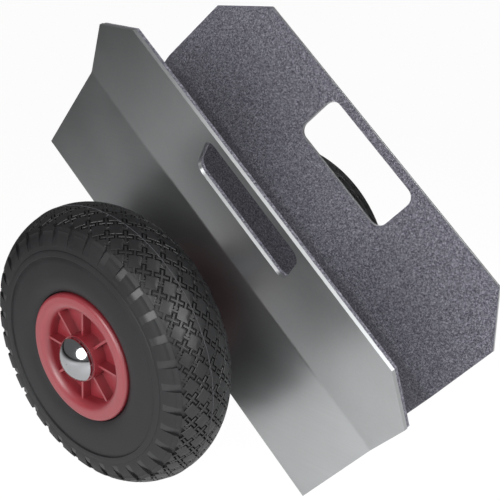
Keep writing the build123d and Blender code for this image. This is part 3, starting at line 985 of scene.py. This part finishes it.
@dataclass
class FeltLining:
    """Felt cut to the inside of a jaw and glued on, bent with it.

    Sizes are in millimetres, angles in degrees.
    """

    length: float = 419.0
    thickness: float = 3.0
    middle_from_centre: float = 48.5
    bend_start: float = 110.83
    flare: float = 20.5
    bend_radius: float = 16.5
    below_bend: float = 71.83
    above_arc: float = 110.33
    corner_line: float = 168.29
    plate_top_above_arc: float = 110.83
    hole_length: float = 123.0
    hole_height: float = 47.0
    hole_round: float = 10.5
    hole_below_top: float = 32.2
    cell: float = 3.2
    nap_height: float = 0.22
    nap_size: float = 7.0
    nap_level: float = 0.75
    hole_edge_steps: int = 8
    bend_steps: int = 3
    punch_depth: float = 30.0
    smooth_angle: float = 40.0

    @property
    def arc(self) -> float:
        """Length of the bend along the felt's middle."""
        return self.bend_radius * math.radians(self.flare)

    @property
    def height(self) -> float:
        """Height of the felt laid out flat."""
        return self.below_bend + self.arc + self.above_arc

    @property
    def flat_area(self) -> float:
        """Area of the cut felt laid out flat, in square metres."""
        top = self.arc + self.above_arc
        leg = self.length / 2 + top - self.corner_line - self.arc - self.plate_top_above_arc
        hole = self.hole_length * self.hole_height - (4 - math.pi) * self.hole_round ** 2
        return (self.length * self.height - leg ** 2 - hole) * MM * MM

    def cut_sheet(self, name: str) -> Workpiece:
        """Cuts the flat felt to its outline: a grid with slanted corners.

        Args:
            name: the piece's name.

        Returns:
            The sheet, standing on the XZ plane with the bend's start at Z = 0.
        """
        piece = Workpiece.grid(name, round(self.length / self.cell), round(self.height / self.cell))
        piece.edit()
        select_all()
        bpy.ops.transform.resize(value=(self.length * MM, 1.0, self.height * MM), center_override=(0, 0, 0))
        bpy.ops.transform.translate(value=(0.0, 0.0, (self.height / 2 - self.below_bend) * MM))
        top = (self.arc + self.plate_top_above_arc) * MM
        for side in (1, -1):
            select_all()
            bpy.ops.mesh.bisect(
                plane_co=(side * self.corner_line * MM, 0.0, top), plane_no=(side, 0.0, 1.0),
                clear_outer=True)
        for step in range(self.bend_steps + 1):
            level = self.arc * step / self.bend_steps * MM
            select_all()
            bpy.ops.mesh.bisect(plane_co=(0.0, 0.0, level), plane_no=(0.0, 0.0, 1.0))
        rest_all()
        return piece

    def hole_cutter(self) -> Workpiece:
        """Models the round-cornered punch of the hand hole.

        Returns:
            The punch, standing through the flat felt.
        """
        rest_all()
        middle = (self.arc + self.plate_top_above_arc - self.hole_below_top) * MM
        bpy.ops.mesh.primitive_cube_add(size=1.0, location=(0.0, 0.0, middle))
        bpy.context.object.scale = (self.hole_length * MM, self.punch_depth * MM, self.hole_height * MM)
        bpy.ops.object.transform_apply(location=True, rotation=True, scale=True)
        punch = Workpiece(bpy.context.object)
        punch.edit()
        punch.pick(Part.EDGES, lambda edge: abs(edge.verts[0].co.y - edge.verts[1].co.y) > MM)
        bpy.ops.mesh.bevel(offset=self.hole_round * MM, segments=self.hole_edge_steps, affect="EDGES")
        rest_all()
        return punch

    def build(self) -> None:
        """Builds both linings and glues them into their jaws."""
        right = self.cut_sheet("right_felt_sheet")
        right.modify("SOLIDIFY", thickness=self.thickness * MM, offset=0.0)
        punch = self.hole_cutter()
        right.modify("BOOLEAN", operation="DIFFERENCE", object=punch.obj, solver="EXACT")
        bpy.data.objects.remove(punch.obj)
        nap = bpy.data.textures.new("felt_nap", "CLOUDS")
        nap.noise_scale = self.nap_size * MM
        right.modify(
            "DISPLACE", texture=nap, strength=self.nap_height * MM, mid_level=self.nap_level,
            texture_coords="LOCAL")
        low = min(vertex.co.z for vertex in right.obj.data.vertices)
        span = right.extent(2)
        limits = (-low / span, (self.arc * MM - low) / span)
        right.modify(
            "SIMPLE_DEFORM", deform_method="BEND", deform_axis="X", angle=-math.radians(self.flare),
            limits=limits)
        lift = Matrix.Translation(Vector((0.0, -self.middle_from_centre, self.bend_start)) * MM)
        right.set_down(LEVEL_TO_ROW @ lift)
        right.smooth(self.smooth_angle)
        left = right.copy_turned("left_felt_sheet")
        for side, piece in ((Side.RIGHT, right), (Side.LEFT, left)):
            Palette.FELT.paint(piece.obj)
            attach(piece.obj, side.node("jaw"))
            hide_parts(side.node("felt_lining"))
            side.node("jaw_plate")
            LOG.info("%s: %d faces", piece.obj.name, len(piece.obj.data.polygons))


@dataclass
class Hardware:
    """The pieces that keep their solids: each node gets the finish of its slot."""

    def dress(self) -> None:
        """Paints every node of the frame with its slot's finish."""
        finishes = {choice.slot: choice for choice in reversed(Palette)}
        for row in frame["record"]["subparts"]:
            finishes[row["material_slot"]].paint(frame["nodes"][row["node"]])
            LOG.info("%s: %s", row["node"], row["material_slot"])


@dataclass(frozen=True)
class Lamp:
    """A soft area lamp.

    Attributes:
        name: the lamp's name.
        place, aim: where it hangs and the point that it faces, in metres.
        size: width of its face, in metres.
        power: its power, in watts.
        shape: outline of its face.
        shown: whether the camera and polished metal see it.
    """

    name: str
    place: Point
    aim: Point
    size: float
    power: float
    shape: str = "SQUARE"
    shown: bool = True

    def hang(self) -> None:
        """Adds the lamp to the scene."""
        data = bpy.data.lights.new(self.name, "AREA")
        data.size, data.energy, data.shape = self.size, self.power, self.shape
        lamp = bpy.data.objects.new(self.name, data)
        lamp.location = self.place
        lamp.rotation_euler = (Vector(self.aim) - Vector(self.place)).to_track_quat("-Z", "Y").to_euler()
        lamp.visible_glossy = lamp.visible_camera = self.shown
        bpy.context.scene.collection.objects.link(lamp)


@dataclass
class Studio:
    """Camera at the photograph's place, soft lamps and a white floor.

    Lengths are in metres, the lens and the sensor in millimetres. The floor carries a painted pool of light
    round
    the cart: each of its levels is a distance from its centre, as a share of its reach, and the floor's
    painted brightness there.
    """

    eye: Point = (0.4920, -0.5973, 0.5249)
    right: Point = (0.7904, 0.6125, 0.0093)
    down: Point = (0.2180, -0.2672, -0.9387)
    lens: float = 64.58
    sensor: float = 36.0
    nearest: float = 0.01
    shift: tuple[float, float] = (-0.0589, -0.0903)
    floor_size: float = 30.0
    # The painted pool of light on the floor: its centre, its reach and its painted brightness at each share
    # of the reach.
    painted_pool_centre: Point = (0.2, -0.25, 0.0)
    painted_pool_reach: float = 1.5
    painted_pool_levels: tuple[tuple[float, float], ...] = (
        (0.07, 1.0), (0.13, 0.82), (0.18, 0.72), (0.3, 0.73), (0.43, 0.66), (0.52, 0.42), (0.62, 0.21),
        (0.72, 0.17), (0.8, 0.09), (1.0, 0.02))
    floor_white: float = 1.08
    white_to_camera: float = 0.9
    # Share of the painted pool of light that polished metal sees as its reflection.
    painted_pool_to_polish: float = 0.8
    sky_level: float = 0.3
    sky_to_polish: float = 0.15
    sky_to_camera: float = 1.0

    LAMPS = (
        Lamp("key", (0.24, -1.1, 0.58), (0.0, -0.05, 0.12), 0.8, 8.0, "DISK"),
        Lamp("top", (1.3, 0.05, 1.15), (0.1, -0.05, 0.15), 0.7, 5.0),
        Lamp("side", (1.34, -0.45, 0.68), (0.03, -0.15, 0.16), 0.6, 8.0),
        # The cut edges of the near jaw mirror this one.
        Lamp("above", (0.56, 0.08, 1.2), (0.05, -0.08, 0.3), 0.36, 0.8),
        # A white card low in front, for the foot of the wheel.
        Lamp("card", (-0.2, -0.62, 0.03), (-0.06, -0.16, 0.08), 0.3, 1.8, shown=False),
    )

    def place_camera(self) -> None:
        """Adds the camera and makes it the scene's own."""
        across = Vector(self.right).normalized()
        back = across.cross(-Vector(self.down)).normalized()
        up = back.cross(across)
        data = bpy.data.cameras.new("camera")
        data.lens, data.sensor_width = self.lens, self.sensor
        data.shift_x, data.shift_y = self.shift
        data.clip_start = self.nearest
        camera = bpy.data.objects.new("camera", data)
        turn = Matrix((across, up, back)).transposed().to_4x4()
        camera.matrix_world = Matrix.Translation(Vector(self.eye)) @ turn
        bpy.context.scene.collection.objects.link(camera)
        bpy.context.scene.camera = camera

    def lay_floor(self) -> None:
        """Lays the floor: the camera sees it plain white, while polished metal sees a painted pool of light
        round the cart, bright near it and darker further out, and the floor's matt colour carries the same
        painted shade.
        """
        floor = Workpiece.plane("floor", self.floor_size)
        made = bpy.data.materials.new("studio_floor_white_painted_pool")
        tree = blank_tree(made)
        rays = add(tree, "ShaderNodeLightPath")
        place = add(tree, "ShaderNodeTexCoord").outputs["Object"]
        away = add(tree, "ShaderNodeVectorMath", {0: place, 1: self.painted_pool_centre}, operation="DISTANCE")
        share = add(tree, "ShaderNodeMath", {
            0: away.outputs["Value"], 1: self.painted_pool_reach,
        }, operation="DIVIDE")
        # The painted pool of light: the floor's brightness, painted bright near the cart and darker further
        # out.
        pale = add(tree, "ShaderNodeValToRGB", {"Fac": share.outputs[0]})
        stops = pale.color_ramp.elements
        stops.remove(stops[1])
        for index, (distance, level) in enumerate(self.painted_pool_levels):
            stop = stops[0] if index == 0 else stops.new(distance)
            stop.position, stop.color = distance, (level, level, level, 1.0)
        matt = add(tree, "ShaderNodeBsdfDiffuse", {"Color": pale.outputs["Color"]})
        camera = rays.outputs["Is Camera Ray"]
        strength = add(tree, "ShaderNodeMapRange", {
            "Value": camera, "To Min": pale.outputs["Color"], "To Max": self.floor_white,
        })
        glow = add(tree, "ShaderNodeEmission", {
            "Color": linear("#ffffff"), "Strength": strength.outputs["Result"],
        })
        polished = add(tree, "ShaderNodeMath", {
            0: rays.outputs["Is Glossy Ray"], 1: rays.outputs["Is Transmission Ray"],
        }, operation="MAXIMUM")
        lit = add(tree, "ShaderNodeMath", {
            0: polished.outputs[0], 1: self.painted_pool_to_polish,
        }, operation="MULTIPLY")
        seen = add(tree, "ShaderNodeMath", {
            0: camera, 1: self.white_to_camera, 2: lit.outputs[0],
        }, operation="MULTIPLY_ADD")
        mixed = add(tree, "ShaderNodeMixShader", {
            0: seen.outputs[0], 1: matt.outputs[0], 2: glow.outputs[0],
        })
        add(tree, "ShaderNodeOutputMaterial", {"Surface": mixed.outputs[0]})
        floor.obj.data.materials.append(made)

    def light(self) -> None:
        """Hangs the soft lamps and sets the world."""
        for lamp in self.LAMPS:
            lamp.hang()
        world = bpy.data.worlds.new("studio")
        bpy.context.scene.world = world
        tree = blank_tree(world)
        rays = add(tree, "ShaderNodeLightPath")
        polished = add(tree, "ShaderNodeMath", {
            0: rays.outputs["Is Glossy Ray"], 1: self.sky_to_polish - self.sky_level, 2: self.sky_level,
        }, operation="MULTIPLY_ADD")
        level = add(tree, "ShaderNodeMapRange", {
            "Value": rays.outputs["Is Camera Ray"], "To Min": polished.outputs[0],
            "To Max": self.sky_to_camera,
        })
        sky = add(tree, "ShaderNodeBackground", {
            "Color": linear("#ffffff"), "Strength": level.outputs["Result"],
        })
        add(tree, "ShaderNodeOutputWorld", {"Surface": sky.outputs[0]})

    def build(self) -> None:
        """Sets up the camera, the floor, the lamps and the view."""
        self.place_camera()
        self.lay_floor()
        self.light()
        bpy.context.scene.view_settings.view_transform = "Standard"


def main() -> None:
    """Builds the cart's pieces in order and reports each."""
    logging.basicConfig(level=logging.INFO, format="%(message)s")
    Studio().build()
    Hardware().dress()
    Tyre().build()
    FeltLining().build()
    rest_all()


if __name__ == "__main__":
    main()
